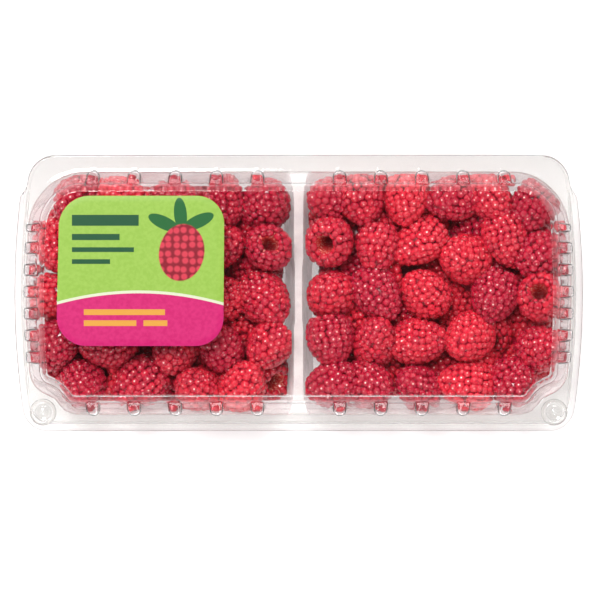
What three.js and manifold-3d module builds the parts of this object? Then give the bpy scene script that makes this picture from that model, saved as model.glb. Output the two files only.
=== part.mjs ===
// Two-compartment clear clamshell punnet of raspberries, shut and lying flat.
// Millimetres, +Z up, X along the length, the lid's hinge at +Y, origin under the middle of the base.

import * as THREE from 'three';
import { mergeVertices } from 'three/addons/utils/BufferGeometryUtils.js';
import Module from 'manifold-3d';

const wasm = await Module();
wasm.setup();

// Driving dimensions of the pack
const SHEET = 0.7; // thickness of the formed sheet
const GAP = 0.3; // air between pieces that lie against each other
const LENGTH = 241; // over the lid's skirt, along X
const FRONT_EDGE = 58.4; // from the middle to the foot of the front skirt
const BACK_EDGE = 58.4; // from the middle to the hinge line
const HEIGHT = 45; // underside of the base to the top of the lid's panel
const TRAY_DEPTH = 30.7; // underside of the base to the top of the tray's rim
const BOW = 0.000012; // the short sides bulge: x shrinks by this share for each square millimetre of y squared

// Wall line at the rim, which tray and lid share
const WALL_HALF_X = 115.2;
const WALL_HALF_Y = 51.2;
const BACK_CORNER_RADIUS = 22;
const FRONT_CORNER_RADIUS = 10; // of the two outward bends beside each button
const NOTCH_RADIUS = 8; // of the inward bend round each button
const BUTTON_X = 111.4; // before the bow
const BUTTON_Y = -50.3;

// Rim and skirt
const RIM_FRONT_RADIUS = 8.5;
const RIM_BACK_RADIUS = 10;
const SKIRT_FLARE = 2.6;
const SKIRT_DROP = 5.2;
const LIP_DROP = 3.2; // of the tray's turned-down lip, inside the skirt
const LIP_FLARE = 1.2;
const LIP_CLEARANCE = 0.6;
const SKIRT_BACK_END = 43; // the skirt and lip stop here, short of the hinge

// Lid
const SHOULDER_INSET = 5.6;
const SHOULDER_Z = 42.6;
const PANEL_INSET = 8;

// Round snap buttons at the front corners
const BUTTON_RADIUS = 4.7;
const BUTTON_RISE = 1.5;
const STUD_RADIUS = 3.4;

// Vent flutes formed in the lid's walls
const LONG_FLUTE_PITCH = 17.8;
const LONG_FLUTES_PER_HALF = 5;
const SHORT_FLUTE_PITCH = 9.2;
const SHORT_FLUTES = 7;
const SHORT_FLUTE_MIDDLE_Y = 0.6;
const LONG_FLUTE_RADIUS = 2.7;
const SHORT_FLUTE_RADIUS = 2.3;
const FLUTE_TOP_Z = 41.2;
const ROUND = 6; // sides of a flute on the long walls
const SQUARE = 4; // sides of one on the short walls
const FLUTE_TAPER = 0.94; // radius at a flute's top, as a share of that at its foot

// Divider, a hollow ridge across the tray
const RIDGE_TOP_Z = 27;
const RIDGE_BASE_HALF = 6.5;
const RIDGE_TOP_HALF = 2;
const RIDGE_WAIST_HALF = 1.5;
const RIDGE_END_HALF = 5.5;
const RIDGE_END_LENGTH = 10;
const RIDGE_WAIST_LENGTH = 24;

// Label on the left half of the lid's panel
const LABEL_WIDTH = 70;
const LABEL_HEIGHT = 63;
const LABEL_CORNER = 12;
const LABEL_CENTRE = new THREE.Vector2(-66.5, 9.3);
const LABEL_THICKNESS = 0.2;
const LABEL_LIFT = 0.05;

// Berries
const BERRY_RADIUS = 11.5;
const BERRY_LENGTH = 22.5;
const HEAP_TOP_Z = 37;
const LOWER_LAYER_Z = 12;
const UPPER_LAYER_Z = 26.5;
const DEEP_LAYER_Z = 21.5;
const SETTLE_STEPS = 90;
const SOFTNESS = 0.9; // how near two berries may lie, as a share of their two radii

const CORNER_POINTS_BACK = 6;
const CORNER_POINTS_FRONT = 12;
const SIDE_POINTS = 3; // between the corners of a short side, for its bow

// Outlines seen from above, counter-clockwise, all with the same number of points

function arcPoints(centre, radius, fromDegrees, toDegrees, count) {
  const points = [];
  for (let i = 0; i < count; i += 1) {
    const angle = THREE.MathUtils.degToRad(fromDegrees + (toDegrees - fromDegrees) * i / (count - 1));
    points.push(new THREE.Vector2(
      centre.x + radius * Math.cos(angle),
      centre.y + radius * Math.sin(angle),
    ));
  }
  return points;
}

function bearing(from, to) {
  return THREE.MathUtils.radToDeg(Math.atan2(to.y - from.y, to.x - from.x));
}

function bowed(point) {
  return new THREE.Vector2(point.x * (1 - BOW * point.y ** 2), point.y);
}

// Both halves of an outline from the two corners of its right half, with the short sides bowed
function closedOutline(frontRight, backRight) {
  const [from, to] = [frontRight.at(-1), backRight[0]];
  const side = [];
  for (let i = 1; i <= SIDE_POINTS; i += 1) side.push(from.clone().lerp(to, i / (SIDE_POINTS + 1)));
  const right = [...frontRight, ...side, ...backRight].map(bowed);
  return [...right, ...mirrored(right)];
}

function mirrored(points) {
  return points.map((p) => new THREE.Vector2(-p.x, p.y)).reverse();
}

const BUTTON = bowed(new THREE.Vector2(BUTTON_X, BUTTON_Y));

// Wall line drawn in by `inset`: round back corners, and front corners that bend in round the buttons
function wallOutline(inset) {
  const bend = Math.max(FRONT_CORNER_RADIUS - inset, 1);
  const notch = NOTCH_RADIUS + inset;
  const button = new THREE.Vector2(BUTTON_X, BUTTON_Y);
  const sideX = WALL_HALF_X - FRONT_CORNER_RADIUS;
  const frontY = -(WALL_HALF_Y - FRONT_CORNER_RADIUS);
  const reach = FRONT_CORNER_RADIUS + NOTCH_RADIUS;
  const sideBend = new THREE.Vector2(sideX, BUTTON_Y + Math.sqrt(reach ** 2 - (sideX - BUTTON_X) ** 2));
  const frontBend = new THREE.Vector2(BUTTON_X - Math.sqrt(reach ** 2 - (frontY - BUTTON_Y) ** 2), frontY);
  const count = CORNER_POINTS_FRONT / 3;
  const frontRight = [
    ...arcPoints(frontBend, bend, -90, bearing(frontBend, button), count),
    ...arcPoints(button, notch, bearing(button, frontBend), bearing(button, sideBend), count),
    ...arcPoints(sideBend, bend, bearing(sideBend, button), 0, count),
  ];
  const backCentre = new THREE.Vector2(WALL_HALF_X - BACK_CORNER_RADIUS, WALL_HALF_Y - BACK_CORNER_RADIUS);
  return closedOutline(frontRight, arcPoints(backCentre, BACK_CORNER_RADIUS - inset, 0, 90, CORNER_POINTS_BACK));
}

// Plain rounded rectangle for the rim, with its own front and back edges
function rimOutline(halfX, frontEdge, backEdge) {
  const frontCentre = new THREE.Vector2(halfX - RIM_FRONT_RADIUS, RIM_FRONT_RADIUS - frontEdge);
  const backCentre = new THREE.Vector2(halfX - RIM_BACK_RADIUS, backEdge - RIM_BACK_RADIUS);
  const frontRight = arcPoints(frontCentre, RIM_FRONT_RADIUS, -90, 0, CORNER_POINTS_FRONT);
  return closedOutline(frontRight, arcPoints(backCentre, RIM_BACK_RADIUS, 0, 90, CORNER_POINTS_BACK));
}

// Solids

function toSolid(geometry) {
  const bare = geometry.clone();
  bare.deleteAttribute('normal');
  bare.deleteAttribute('uv');
  const merged = mergeVertices(bare, 1e-4);
  const index = merged.getIndex().array;
  const triangles = [];
  for (let i = 0; i < index.length; i += 3) {
    const [a, b, c] = [index[i], index[i + 1], index[i + 2]];
    if (a !== b && b !== c && c !== a) triangles.push(a, b, c);
  }
  return new wasm.Manifold(new wasm.Mesh({
    numProp: 3,
    vertProperties: new Float32Array(merged.getAttribute('position').array),
    triVerts: new Uint32Array(triangles),
  }));
}

function ringAt(outline, z) {
  return outline.map((p) => new THREE.Vector3(p.x, p.y, z));
}

// Joins rings of equal count. The first and last rings are capped, unless `closed` joins them instead.
function skin(rings, closed = false) {
  const count = rings[0].length;
  const positions = rings.flat().flatMap((p) => [p.x, p.y, p.z]);
  const index = [];
  const bands = closed ? rings.length : rings.length - 1;
  for (let band = 0; band < bands; band += 1) {
    const lower = band * count;
    const upper = ((band + 1) % rings.length) * count;
    for (let i = 0; i < count; i += 1) {
      const next = (i + 1) % count;
      index.push(lower + i, lower + next, upper + next, lower + i, upper + next, upper + i);
    }
  }
  if (!closed) {
    for (const [start, ring, flipped] of [[0, rings[0], true], [rings.length - 1, rings.at(-1), false]]) {
      const middle = ring.reduce((sum, p) => sum.add(p), new THREE.Vector3()).divideScalar(count);
      const centre = positions.length / 3;
      positions.push(middle.x, middle.y, middle.z);
      for (let i = 0; i < count; i += 1) {
        const a = start * count + i;
        const b = start * count + (i + 1) % count;
        index.push(...(flipped ? [b, a, centre] : [a, b, centre]));
      }
    }
  }
  const geometry = new THREE.BufferGeometry();
  geometry.setAttribute('position', new THREE.Float32BufferAttribute(positions, 3));
  geometry.setIndex(index);
  return toSolid(geometry);
}

function block(minX, maxX, minY, maxY, minZ, maxZ) {
  const geometry = new THREE.BoxGeometry(maxX - minX, maxY - minY, maxZ - minZ);
  geometry.translate((minX + maxX) / 2, (minY + maxY) / 2, (minZ + maxZ) / 2);
  return toSolid(geometry);
}

function disc(x, y, radius, minZ, maxZ) {
  const geometry = new THREE.CylinderGeometry(radius, radius, maxZ - minZ, 16);
  geometry.rotateX(Math.PI / 2);
  geometry.translate(x, y, (minZ + maxZ) / 2);
  return toSolid(geometry);
}

// The largest connected piece, which leaves out scraps and fills sealed hollows
function mainBody(solid) {
  const bodies = solid.decompose();
  return bodies.reduce((best, body) => (body.volume() > best.volume() ? body : best));
}

function toMesh(name, solid, material) {
  const raw = solid.getMesh();
  const geometry = new THREE.BufferGeometry();
  geometry.setAttribute('position', new THREE.BufferAttribute(new Float32Array(raw.vertProperties), 3));
  geometry.setIndex([...raw.triVerts]);
  geometry.computeVertexNormals();
  const mesh = new THREE.Mesh(geometry, material);
  mesh.name = name;
  return mesh;
}

// Rim of formed sheet: a flat flange whose outer edge turns down and flares, all but at the hinge side
function turnedRim(flangeTop, halfX, frontEdge, drop, flare, wallInset) {
  const under = flangeTop - SHEET;
  const foot = flangeTop - drop;
  const rim = skin([
    ringAt(wallOutline(wallInset), under),
    ringAt(wallOutline(wallInset), flangeTop),
    ringAt(rimOutline(halfX, frontEdge, BACK_EDGE), flangeTop),
    ringAt(rimOutline(halfX + flare, frontEdge + flare, BACK_EDGE), foot),
    ringAt(rimOutline(halfX + flare - SHEET, frontEdge + flare - SHEET, BACK_EDGE - SHEET), foot),
    ringAt(rimOutline(halfX - SHEET, frontEdge - SHEET, BACK_EDGE - SHEET), under),
  ].reverse(), true);
  return rim.subtract(block(-LENGTH, LENGTH, SKIRT_BACK_END, FRONT_EDGE * 2, 0, under));
}

// Tray

const FLOOR_EDGE_INSET = 10;
const KNEE_INSET = 7.4; // where the rounded foot of the wall ends
const KNEE_Z = 2.6;
const WALL_FOOT_INSET = 6.2;
const WALL_FOOT_Z = 5.6;

// How far the tray's inner wall lies inside the wall line at a height
function trayInset(z) {
  return WALL_FOOT_INSET * THREE.MathUtils.clamp((TRAY_DEPTH - z) / (TRAY_DEPTH - WALL_FOOT_Z), 0, 1);
}

function trayRings(thickness) {
  return [
    ringAt(wallOutline(FLOOR_EDGE_INSET - thickness / 2), SHEET - thickness),
    ringAt(wallOutline(KNEE_INSET - thickness), KNEE_Z - thickness / 2),
    ringAt(wallOutline(WALL_FOOT_INSET - thickness), WALL_FOOT_Z),
    ringAt(wallOutline(-thickness), TRAY_DEPTH),
  ];
}

// Ridge across the tray, waisted in the middle and wider where it meets the long walls
function ridge(thinner, minZ) {
  const stations = [
    [WALL_HALF_Y + SHEET, RIDGE_END_HALF],
    [WALL_HALF_Y - RIDGE_END_LENGTH / 2, RIDGE_TOP_HALF + 0.6],
    [WALL_HALF_Y - RIDGE_END_LENGTH, RIDGE_TOP_HALF],
    [RIDGE_WAIST_LENGTH / 2 + 2, RIDGE_TOP_HALF],
    [RIDGE_WAIST_LENGTH / 2, RIDGE_WAIST_HALF],
  ];
  const section = (y, topHalf) => {
    const spread = RIDGE_BASE_HALF + topHalf - RIDGE_TOP_HALF - thinner;
    const top = topHalf - thinner * 0.75;
    return [
      new THREE.Vector3(-spread, y, minZ),
      new THREE.Vector3(-top, y, RIDGE_TOP_Z - thinner),
      new THREE.Vector3(top, y, RIDGE_TOP_Z - thinner),
      new THREE.Vector3(spread, y, minZ),
    ];
  };
  const front = stations.map(([y, half]) => section(-y, half));
  const back = stations.map(([y, half]) => section(y, half)).reverse();
  return skin([...front, ...back]);
}

function makeTray() {
  const envelope = skin(trayRings(SHEET));
  const tub = skin([...trayRings(SHEET), ...trayRings(0).reverse()]);
  const rimHalfX = LENGTH / 2 - SKIRT_FLARE - LIP_CLEARANCE - SHEET;
  const rimFront = FRONT_EDGE - SKIRT_FLARE - LIP_CLEARANCE - SHEET;
  let tray = tub.add(turnedRim(TRAY_DEPTH, rimHalfX, rimFront, LIP_DROP, LIP_FLARE, -SHEET / 2));
  tray = tray.add(ridge(0, 0.1).intersect(envelope));
  tray = tray.subtract(ridge(SHEET, -1));
  for (const side of [-1, 1]) {
    const x = side * BUTTON.x;
    const studTop = TRAY_DEPTH + BUTTON_RISE;
    tray = tray.add(disc(x, BUTTON_Y, STUD_RADIUS, TRAY_DEPTH - SHEET / 2, studTop));
    tray = tray.subtract(disc(x, BUTTON_Y, STUD_RADIUS - SHEET, TRAY_DEPTH - 2, studTop - SHEET));
  }
  return mainBody(tray);
}

// Lid

const LID_FLANGE_TOP = TRAY_DEPTH + GAP + SHEET;

function lidRings(thickness) {
  return [
    ringAt(wallOutline(SHEET - thickness), LID_FLANGE_TOP - SHEET),
    ringAt(wallOutline(SHEET - thickness + SHOULDER_INSET), SHOULDER_Z - (SHEET - thickness) / 2),
    ringAt(wallOutline(SHEET - thickness + PANEL_INSET), HEIGHT - SHEET + thickness),
  ];
}

// Upright flute with a flat top, half round or square. It stands out of the sloping wall and on the flange.
function flute(place, radius, sides, thinner) {
  const stretch = sides === SQUARE ? Math.SQRT2 : 1;
  const ring = (z, size) => {
    const points = [];
    for (let i = 0; i < sides; i += 1) {
      const angle = (i + 0.5) * 2 * Math.PI / sides;
      const reach = size * stretch;
      points.push(new THREE.Vector3(place.x + reach * Math.cos(angle), place.y + reach * Math.sin(angle), z));
    }
    return points;
  };
  const foot = thinner > 0 ? LID_FLANGE_TOP - SHEET * 2 : LID_FLANGE_TOP - SHEET / 2;
  return skin([
    ring(foot, radius - thinner),
    ring(FLUTE_TOP_Z - thinner, radius * FLUTE_TAPER - thinner),
  ]);
}

function flutePlaces() {
  const places = [];
  for (const side of [-1, 1]) {
    for (let k = -LONG_FLUTES_PER_HALF; k <= LONG_FLUTES_PER_HALF; k += 1) {
      if (k === 0) continue;
      const y = side * (WALL_HALF_Y - LONG_FLUTE_RADIUS);
      places.push([new THREE.Vector2(k * LONG_FLUTE_PITCH, y), LONG_FLUTE_RADIUS, ROUND]);
    }
    for (let k = 0; k < SHORT_FLUTES; k += 1) {
      const y = SHORT_FLUTE_MIDDLE_Y + (k - (SHORT_FLUTES - 1) / 2) * SHORT_FLUTE_PITCH;
      const place = bowed(new THREE.Vector2(side * WALL_HALF_X, y));
      place.x -= side * SHORT_FLUTE_RADIUS;
      places.push([place, SHORT_FLUTE_RADIUS, SQUARE]);
    }
  }
  return places;
}

function makeLid() {
  const skirtHalfX = LENGTH / 2 - SKIRT_FLARE;
  const skirtFront = FRONT_EDGE - SKIRT_FLARE;
  let outside = skin(lidRings(SHEET));
  let inside = skin([ringAt(wallOutline(SHEET), 0), ...lidRings(0)]);
  for (const [place, radius, sides] of flutePlaces()) {
    outside = outside.add(flute(place, radius, sides, 0));
    inside = inside.add(flute(place, radius, sides, SHEET));
  }
  const rim = turnedRim(LID_FLANGE_TOP, skirtHalfX, skirtFront, SKIRT_DROP, SKIRT_FLARE, SHEET / 2);
  outside = outside.add(rim);
  for (const side of [-1, 1]) {
    const x = side * BUTTON.x;
    const top = LID_FLANGE_TOP + BUTTON_RISE;
    outside = outside.add(disc(x, BUTTON_Y, BUTTON_RADIUS, LID_FLANGE_TOP - SHEET / 2, top));
    inside = inside.add(disc(x, BUTTON_Y, BUTTON_RADIUS - SHEET, LID_FLANGE_TOP - 2, top - SHEET));
  }
  return mainBody(outside.subtract(inside));
}

// Berries: places of the upper ones in each half, seen from above, with how each one lies

const LYING = { z: UPPER_LAYER_Z, tilt: [30, 88] };
const DEEP = { z: DEEP_LAYER_Z, tilt: [30, 88] };
const TIP_UP = { z: UPPER_LAYER_Z, tilt: [5, 20] };
const HOLLOW_UP = { z: UPPER_LAYER_Z, tilt: [150, 165] };
const LOWER = { z: LOWER_LAYER_Z, tilt: [60, 150] };

const RIGHT_UPPER = [
  [LYING, [[16, 37], [36, 39], [58, 34], [74, 36], [91, 37], [100, 44]]],
  [LYING, [[35, 22], [58, 14], [80, 16], [100, 23], [33, 0], [69, -4]]],
  [LYING, [[14, -25], [37, -18], [60, -24], [83, -24], [101, -21]]],
  [LYING, [[13, -39], [34, -38], [65, -41], [90, -38]]],
  [DEEP, [[51, -3], [83, -5], [47, -35]]],
  [TIP_UP, [[12, -7]]],
  [HOLLOW_UP, [[13, 16], [97, -1]]],
];
const LEFT_UPPER = [
  [LYING, [[-16, 40], [-36, 37], [-56, 40], [-77, 41], [-95, 40]]],
  [LYING, [[-106, 24], [-85, 22], [-65, 22], [-48, 20]]],
  [LYING, [[-105, 6], [-90, 3], [-72, 4], [-54, 2], [-38, 0], [-16, -2]]],
  [LYING, [[-106, -13], [-90, -18], [-59, -20], [-37, -22], [-16, -24]]],
  [LYING, [[-96, -35], [-72, -39], [-48, -39], [-20, -41]]],
  [DEEP, [[-30, 18], [-76, -22]]],
  [HOLLOW_UP, [[-16, 19]]],
];
const LOWER_COLUMNS = 5;
const LOWER_ROWS = 4;
const LOWER_FIRST_X = 18;
const LOWER_FIRST_Y = -33;
const LOWER_PITCH_X = 20.5;
const LOWER_PITCH_Y = 22;
const LOWER_STAGGER = 3.5;

const UP = new THREE.Vector3(0, 0, 1);

// Repeatable value between 0 and 1 for a berry's number and one of its traits
function scatter(number, trait) {
  const value = Math.sin(number * 127.1 + trait * 311.7) * 43758.5453;
  return value - Math.floor(value);
}

function ridgeHalf(z) {
  return THREE.MathUtils.lerp(RIDGE_BASE_HALF, RIDGE_TOP_HALF, THREE.MathUtils.clamp(z / RIDGE_TOP_Z, 0, 1));
}

function makeBerry(number, x, y, lie) {
  const tilt = THREE.MathUtils.degToRad(THREE.MathUtils.lerp(...lie.tilt, scatter(number, 1)));
  const turn = 2 * Math.PI * scatter(number, 2);
  return {
    centre: new THREE.Vector3(x, y, lie.z),
    radius: BERRY_RADIUS * (0.93 + 0.14 * scatter(number, 3)),
    length: BERRY_LENGTH * (0.92 + 0.16 * scatter(number, 4)),
    axis: new THREE.Vector3(Math.sin(tilt), 0, Math.cos(tilt)).applyAxisAngle(UP, turn),
    lie,
  };
}

function placeBerries(side, upper) {
  const berries = [];
  let number = side > 0 ? 1 : 101;
  for (const [lie, places] of upper) {
    for (const [x, y] of places) {
      berries.push(makeBerry(number, x, y, lie));
      number += 1;
    }
  }
  for (let row = 0; row < LOWER_ROWS; row += 1) {
    for (let column = 0; column < LOWER_COLUMNS; column += 1) {
      const x = LOWER_FIRST_X + LOWER_PITCH_X * column + (row % 2) * LOWER_STAGGER;
      const y = LOWER_FIRST_Y + LOWER_PITCH_Y * row + LOWER_STAGGER * (scatter(number, 5) - 0.5);
      berries.push(makeBerry(number, side * x, y, LOWER));
      number += 1;
    }
  }
  return berries;
}

// Pushes overlapping berries apart and keeps them inside the walls, off the ridge and under the lid
function settle(berries, side) {
  const push = new THREE.Vector3();
  for (let step = 0; step < SETTLE_STEPS; step += 1) {
    for (let i = 0; i < berries.length; i += 1) {
      for (let j = i + 1; j < berries.length; j += 1) {
        const [a, b] = [berries[i], berries[j]];
        push.subVectors(b.centre, a.centre);
        const overlap = SOFTNESS * (a.radius + b.radius) - push.length();
        if (overlap > 0) {
          push.setLength(overlap / 2);
          a.centre.sub(push);
          b.centre.add(push);
        }
      }
    }
    for (const berry of berries) keepInside(berry, side);
  }
}

function keepInside(berry, side) {
  const c = berry.centre;
  const room = berry.radius * SOFTNESS;
  const inset = trayInset(c.z);
  c.z = THREE.MathUtils.clamp(c.z, SHEET + GAP + room, HEAP_TOP_Z - room);
  const near = ridgeHalf(c.z) + GAP + room;
  const far = WALL_HALF_X * (1 - BOW * c.y ** 2) - inset - GAP - room;
  c.x = side * THREE.MathUtils.clamp(side * c.x, near, far);
  const across = WALL_HALF_Y - inset - GAP - room;
  c.y = THREE.MathUtils.clamp(c.y, -across, across);
  const clear = NOTCH_RADIUS + inset + GAP + room;
  const fromButton = new THREE.Vector2(c.x - side * BUTTON.x, c.y - BUTTON.y);
  if (fromButton.length() < clear) {
    fromButton.setLength(clear);
    c.x = side * BUTTON.x + fromButton.x;
    c.y = BUTTON.y + fromButton.y;
  }
}

// Profiles from the stem end to the tip, as shares of the radius and of the length
const HOLLOW_PROFILE = [[0, -0.1], [0.4, -0.5], [1, -0.14], [0.74, 0.34], [0, 0.5]];
const CLOSED_PROFILE = [[0, -0.46], [1, -0.16], [0.78, 0.32], [0, 0.5]];
const HOLLOW_SIDES = 9;
const UPPER_SIDES = 8;
const LOWER_SIDES = 5;

function berrySolid(berry) {
  const hollow = berry.lie === HOLLOW_UP;
  const profile = hollow ? HOLLOW_PROFILE : CLOSED_PROFILE;
  const closedSides = berry.lie === LOWER ? LOWER_SIDES : UPPER_SIDES;
  const sides = hollow ? HOLLOW_SIDES : closedSides;
  const points = profile.map(([r, h]) => new THREE.Vector2(r * berry.radius, h * berry.length));
  const geometry = new THREE.LatheGeometry(points, sides);
  const turn = new THREE.Quaternion().setFromUnitVectors(new THREE.Vector3(0, 1, 0), berry.axis);
  geometry.applyMatrix4(new THREE.Matrix4().compose(berry.centre, turn, new THREE.Vector3(1, 1, 1)));
  return toSolid(geometry);
}

// Room of one compartment, a gap inside the tray's walls, the lid's dome and the ridge
function compartment(side) {
  const room = skin([
    ringAt(wallOutline(FLOOR_EDGE_INSET + GAP), SHEET + GAP),
    ringAt(wallOutline(KNEE_INSET + GAP), KNEE_Z + GAP),
    ringAt(wallOutline(WALL_FOOT_INSET + GAP), WALL_FOOT_Z + GAP),
    ringAt(wallOutline(SHEET + GAP), TRAY_DEPTH),
    ringAt(wallOutline(SHEET + SHOULDER_INSET + GAP), SHOULDER_Z - GAP - SHEET),
  ]);
  const [near, far] = side > 0 ? [GAP * 3, LENGTH] : [-LENGTH, -GAP * 3];
  return room.intersect(block(near, far, -LENGTH, LENGTH, 0, HEIGHT)).subtract(ridge(-GAP, 0));
}

// Core of the heap, out of sight among the lower berries
const CORE = { near: 14, far: 100, front: -36, back: 38, bottom: 7, top: 17 };

function makeHeap(side, upper) {
  const berries = placeBerries(side, upper);
  settle(berries, side);
  const [minX, maxX] = side > 0 ? [CORE.near, CORE.far] : [-CORE.far, -CORE.near];
  const core = block(minX, maxX, CORE.front, CORE.back, CORE.bottom, CORE.top);
  const heap = berries.reduce((sum, berry) => sum.add(berrySolid(berry)), core);
  return mainBody(heap.intersect(compartment(side)));
}

// Label: a plain rounded panel lying on the lid

function makeLabel() {
  const [halfX, halfY, radius] = [LABEL_WIDTH / 2, LABEL_HEIGHT / 2, LABEL_CORNER];
  const shape = new THREE.Shape();
  shape.absarc(halfX - radius, radius - halfY, radius, -Math.PI / 2, 0);
  shape.absarc(halfX - radius, halfY - radius, radius, 0, Math.PI / 2);
  shape.absarc(radius - halfX, halfY - radius, radius, Math.PI / 2, Math.PI);
  shape.absarc(radius - halfX, radius - halfY, radius, Math.PI, Math.PI * 1.5);
  const options = { depth: LABEL_THICKNESS, bevelEnabled: false, curveSegments: 4 };
  const geometry = new THREE.ExtrudeGeometry(shape, options);
  geometry.translate(LABEL_CENTRE.x, LABEL_CENTRE.y, HEIGHT + LABEL_LIFT);
  return toSolid(geometry);
}

// Materials

const clearSheet = new THREE.MeshStandardMaterial({
  color: 0xeef1f2, roughness: 0.08, metalness: 0, transparent: true, opacity: 0.25, name: 'clear_sheet',
});
const berryRed = new THREE.MeshStandardMaterial({
  color: 0xd01f3c, roughness: 0.45, metalness: 0, name: 'berry',
});
const printedPaper = new THREE.MeshStandardMaterial({
  color: 0x94cb4f, roughness: 0.5, metalness: 0, name: 'label',
});

// Assembly

const group = new THREE.Group();
group.add(
  toMesh('tray', makeTray(), clearSheet),
  toMesh('lid', makeLid(), clearSheet),
  toMesh('berries_right', makeHeap(1, RIGHT_UPPER), berryRed),
  toMesh('berries_left', makeHeap(-1, LEFT_UPPER), berryRed),
  toMesh('label', makeLabel(), printedPaper),
);

export default group;
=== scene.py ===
"""A shut, clear two-compartment punnet of raspberries, seen from straight above.

Metres, +Z up, X along the length, the lid's hinge at +Y, the label on the -X half.
"""

import bmesh
import bpy
import numpy as np
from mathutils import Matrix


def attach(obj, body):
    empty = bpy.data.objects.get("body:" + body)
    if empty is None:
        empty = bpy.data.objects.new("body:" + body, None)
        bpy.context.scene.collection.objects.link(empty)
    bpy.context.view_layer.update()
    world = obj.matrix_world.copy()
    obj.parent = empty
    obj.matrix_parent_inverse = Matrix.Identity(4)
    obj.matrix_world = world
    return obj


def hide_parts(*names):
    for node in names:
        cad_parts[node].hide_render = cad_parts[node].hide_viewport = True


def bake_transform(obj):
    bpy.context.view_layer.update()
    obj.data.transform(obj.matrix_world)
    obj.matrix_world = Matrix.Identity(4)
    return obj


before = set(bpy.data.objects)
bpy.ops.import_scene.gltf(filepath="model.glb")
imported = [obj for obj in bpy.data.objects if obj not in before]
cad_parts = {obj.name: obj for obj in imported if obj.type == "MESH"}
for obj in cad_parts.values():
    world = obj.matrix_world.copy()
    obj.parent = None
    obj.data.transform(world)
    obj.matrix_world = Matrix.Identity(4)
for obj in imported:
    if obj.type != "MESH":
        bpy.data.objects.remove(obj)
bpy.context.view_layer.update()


# The studio. A white sweep under the pack, a soft key light behind it and a strip light on each side. All
# stand outside the cone that the flat lid mirrors to the camera, which looks straight down a long lens.

PIXEL = 0.000423  # metres on the rim's level for one pixel of the 600-pixel frame
FRAME_PIXELS = 600
CAMERA_HEIGHT = 1.6
RIM_Z = 0.0307
FRAME_CENTRE = (0.0006, -0.0029)


class Wire:
    """One socket of a material's nodes. Arithmetic on it adds Math nodes, and `node` adds any other kind."""

    def __init__(self, tree, socket):
        self.tree = tree
        self.socket = socket

    def node(self, kind, settings=None, values=None, output=0):
        """A new node of a kind: its settings first, then a value or a wire for each named socket."""
        made = self.tree.nodes.new(kind)
        for name, value in (settings or {}).items():
            setattr(made, name, value)
        for name, value in (values or {}).items():
            if isinstance(value, Wire):
                self.tree.links.new(value.socket, made.inputs[name])
            else:
                made.inputs[name].default_value = value
        return Wire(self.tree, made.outputs[output]) if made.outputs else made

    def math(self, operation, *others):
        return self.node("ShaderNodeMath", {"operation": operation}, dict(enumerate((self, *others))))

    def __add__(self, other):
        return self.math("ADD", other)

    def __radd__(self, other):
        return self.math("ADD", other)

    def __sub__(self, other):
        return self.math("SUBTRACT", other)

    def __rsub__(self, other):
        return self.node("ShaderNodeMath", {"operation": "SUBTRACT"}, {0: other, 1: self})

    def __mul__(self, other):
        return self.math("MULTIPLY", other)

    def __rmul__(self, other):
        return self.math("MULTIPLY", other)

    def __truediv__(self, other):
        return self.math("DIVIDE", other)

    def ramp(self, low, high, to_low=0.0, to_high=1.0):
        """Smooth step from to_low at low to to_high at high."""
        values = {"Value": self, "From Min": low, "From Max": high, "To Min": to_low, "To Max": to_high}
        return self.node("ShaderNodeMapRange", {"interpolation_type": "SMOOTHSTEP"}, values)

    def mix(self, first, second):
        """Colour from first, where this wire is 0, to second, where it is 1."""
        return self.node("ShaderNodeMix", {"data_type": "RGBA"}, {0: self, 6: first, 7: second}, output=2)

    def attribute(self, name):
        """The mesh's own number of that name."""
        return self.node("ShaderNodeAttribute", {"attribute_name": name}, output=2)

    def along(self, axis):
        """This place's coordinate along X (0), Y (1) or Z (2)."""
        return self.node("ShaderNodeSeparateXYZ", values={"Vector": self}, output=axis)

    def noise(self, scale, detail=2.0):
        """Noise at this place, from 0 to 1."""
        return self.node("ShaderNodeTexNoise", values={"Vector": self, "Scale": scale, "Detail": detail})

    def bump(self, strength, distance):
        """The normal of a surface with this height."""
        values = {"Strength": strength, "Distance": distance, "Height": self}
        return self.node("ShaderNodeBump", values=values)


def new_material(name):
    """An empty material of that name, as (material, wire on its Object coordinates, its output node)."""
    material = bpy.data.materials.new(name)
    material.use_nodes = True
    tree = material.node_tree
    tree.nodes.clear()
    coordinates = tree.nodes.new("ShaderNodeTexCoord")
    output = tree.nodes.new("ShaderNodeOutputMaterial")
    return material, Wire(tree, coordinates.outputs["Object"]), output


def surface(output, shader):
    shader.tree.links.new(shader.socket, output.inputs["Surface"])


def put_mesh(name, points, quads=None, faces=None, smooth=True):
    """A mesh object from an array of points and an array of quads, or a list of faces of any size."""
    mesh = bpy.data.meshes.new(name)
    if faces is None:
        quads = np.asarray(quads, dtype=np.int32)
        sides = quads.shape[1]
        mesh.vertices.add(len(points))
        mesh.vertices.foreach_set("co", np.asarray(points, dtype=np.float32).ravel())
        mesh.loops.add(quads.size)
        mesh.loops.foreach_set("vertex_index", quads.ravel())
        mesh.polygons.add(len(quads))
        mesh.polygons.foreach_set("loop_start", np.arange(len(quads), dtype=np.int32) * sides)
        mesh.update(calc_edges=True)
    else:
        mesh.from_pydata([tuple(p) for p in points], [], faces)
    mesh.polygons.foreach_set("use_smooth", np.full(len(mesh.polygons), smooth))
    mesh.update()
    made = bpy.data.objects.new(name, mesh)
    bpy.context.scene.collection.objects.link(made)
    return made


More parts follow.
